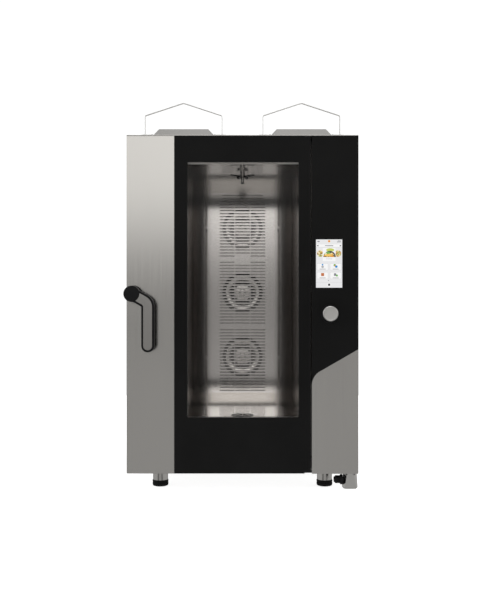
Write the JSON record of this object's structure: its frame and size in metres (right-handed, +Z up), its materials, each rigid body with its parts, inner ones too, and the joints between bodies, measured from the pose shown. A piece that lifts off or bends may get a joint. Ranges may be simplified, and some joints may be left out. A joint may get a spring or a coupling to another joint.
{
  "type": "combi steamer oven",
  "caption": "Floor-standing or counter combi steamer with a tall glass door, a side lever handle, a control column with screen and knob, rear fans and low feet.",
  "frame": {"origin": "on the floor, under the middle of the whole object's outline", "axes": "+Z up, +X to the right of a person facing the door, +Y to the back"},
  "size_m": [0.7518, 0.863, 1.261],
  "materials": {
    "brushed_steel": "brushed stainless sheet",
    "thin_steel": "plain stainless",
    "cavity_steel": "satin stainless cavity sheet",
    "black_glass": "black printed safety glass",
    "clear_glass": "clear safety glass",
    "screen": "lit display face",
    "black_plastic": "matt black plastic",
    "aluminium": "satin turned aluminium",
    "rubber": "matt black rubber",
    "wool": "mineral wool",
    "painted_metal": "dark painted steel",
    "lamp": "lamp diffuser"
  },
  "bodies": {
    "cabinet": {"base_tray": "brushed_steel", "side_panel_left": "brushed_steel", "side_panel_right": "brushed_steel", "roof_panel": "brushed_steel", "rear_panel": "brushed_steel", "front_frame": "brushed_steel", "lower_front_panel": "brushed_steel", "shower_holder": "brushed_steel", "vent_cowl_left": "brushed_steel", "vent_cowl_right": "brushed_steel", "foot_sleeve_front_left": "brushed_steel", "foot_sleeve_front_right": "brushed_steel", "foot_sleeve_rear_left": "brushed_steel", "foot_sleeve_rear_right": "brushed_steel", "wash_feed_pipe": "thin_steel", "drain_strainer": "thin_steel", "water_inlet": "thin_steel", "steam_generator": "thin_steel", "roof_hoop_left": "thin_steel", "roof_hoop_right": "thin_steel", "cavity_ceiling": "cavity_steel", "cavity_floor": "cavity_steel", "cavity_wall_left": "cavity_steel", "cavity_wall_right": "cavity_steel", "cavity_back": "cavity_steel", "air_baffle": "cavity_steel", "control_glass": "black_glass", "display_screen": "screen", "knob_bezel": "black_plastic", "drain_pipe": "black_plastic", "cable_gland": "black_plastic", "control_board": "black_plastic", "door_gasket": "rubber", "cavity_insulation": "wool", "hinge_post": "painted_metal", "fan_motor_upper": "painted_metal", "fan_motor_middle": "painted_metal", "fan_motor_lower": "painted_metal", "heater_ring_upper": "painted_metal", "heater_ring_middle": "painted_metal", "heater_ring_lower": "painted_metal"},
    "door": {"door_glass": "black_glass", "door_window": "clear_glass", "door_inner_glass": "clear_glass", "door_frame": "painted_metal", "door_side_cover": "brushed_steel", "door_lamp": "lamp"},
    "handle": {"handle_lever": "black_plastic", "handle_insert": "brushed_steel"},
    "knob_push": {"knob_shaft": "aluminium"},
    "knob_turn": {"knob_cap": "aluminium"},
    "hand_shower": {"shower_head": "black_plastic"},
    "wash_arm": {"wash_spinner": "thin_steel"},
    "fan_upper": {"fan_upper": "thin_steel"},
    "fan_middle": {"fan_middle": "thin_steel"},
    "fan_lower": {"fan_lower": "thin_steel"},
    "foot_front_left": {"foot_pad_front_left": "rubber"},
    "foot_front_right": {"foot_pad_front_right": "rubber"},
    "foot_rear_left": {"foot_pad_rear_left": "rubber"},
    "foot_rear_right": {"foot_pad_rear_right": "rubber"}
  },
  "joints": [
    {"name": "door_hinge", "type": "hinge", "parent": "cabinet", "child": "door", "pos_m": [0.211, -0.3615, 0.6], "axis": [0, 0, 1], "range_deg": [0, 105]},
    {"name": "handle_turn", "type": "hinge", "parent": "door", "child": "handle", "pos_m": [-0.3512, -0.3715, 0.641], "axis": [0, -1, 0], "range_deg": [0, 90]},
    {"name": "knob_press", "type": "slide", "parent": "cabinet", "child": "knob_push", "axis": [0, 1, 0], "range_m": [0, 0.0015], "stiffness_N_per_m": 1500},
    {"name": "knob_rotate", "type": "hinge", "parent": "knob_push", "child": "knob_turn", "pos_m": [0.2826, -0.3715, 0.577], "axis": [0, 1, 0], "continuous": true},
    {"name": "shower_pull", "type": "slide", "parent": "cabinet", "child": "hand_shower", "axis": [-1, 0, 0], "range_m": [0, 0.03], "stiffness_N_per_m": 200, "springref_m": -0.03},
    {"name": "wash_spin", "type": "hinge", "parent": "cabinet", "child": "wash_arm", "pos_m": [0, -0.0715, 1.065], "axis": [0, 0, 1], "continuous": true},
    {"name": "fan_spin_upper", "type": "hinge", "parent": "cabinet", "child": "fan_upper", "pos_m": [0, 0.2945, 0.91], "axis": [0, 1, 0], "continuous": true},
    {"name": "fan_spin_middle", "type": "hinge", "parent": "cabinet", "child": "fan_middle", "pos_m": [0, 0.2945, 0.651], "axis": [0, 1, 0], "continuous": true},
    {"name": "fan_spin_lower", "type": "hinge", "parent": "cabinet", "child": "fan_lower", "pos_m": [0, 0.2945, 0.393], "axis": [0, 1, 0], "continuous": true},
    {"name": "foot_level_front_left", "type": "hinge", "parent": "cabinet", "child": "foot_front_left", "pos_m": [-0.275, -0.2715, 0.012], "axis": [0, 0, 1], "continuous": true},
    {"name": "foot_level_front_right", "type": "hinge", "parent": "cabinet", "child": "foot_front_right", "pos_m": [0.275, -0.2715, 0.012], "axis": [0, 0, 1], "continuous": true},
    {"name": "foot_level_rear_left", "type": "hinge", "parent": "cabinet", "child": "foot_rear_left", "pos_m": [-0.275, 0.3115, 0.012], "axis": [0, 0, 1], "continuous": true},
    {"name": "foot_level_rear_right", "type": "hinge", "parent": "cabinet", "child": "foot_rear_right", "pos_m": [0.275, 0.3115, 0.012], "axis": [0, 0, 1], "continuous": true}
  ]
}
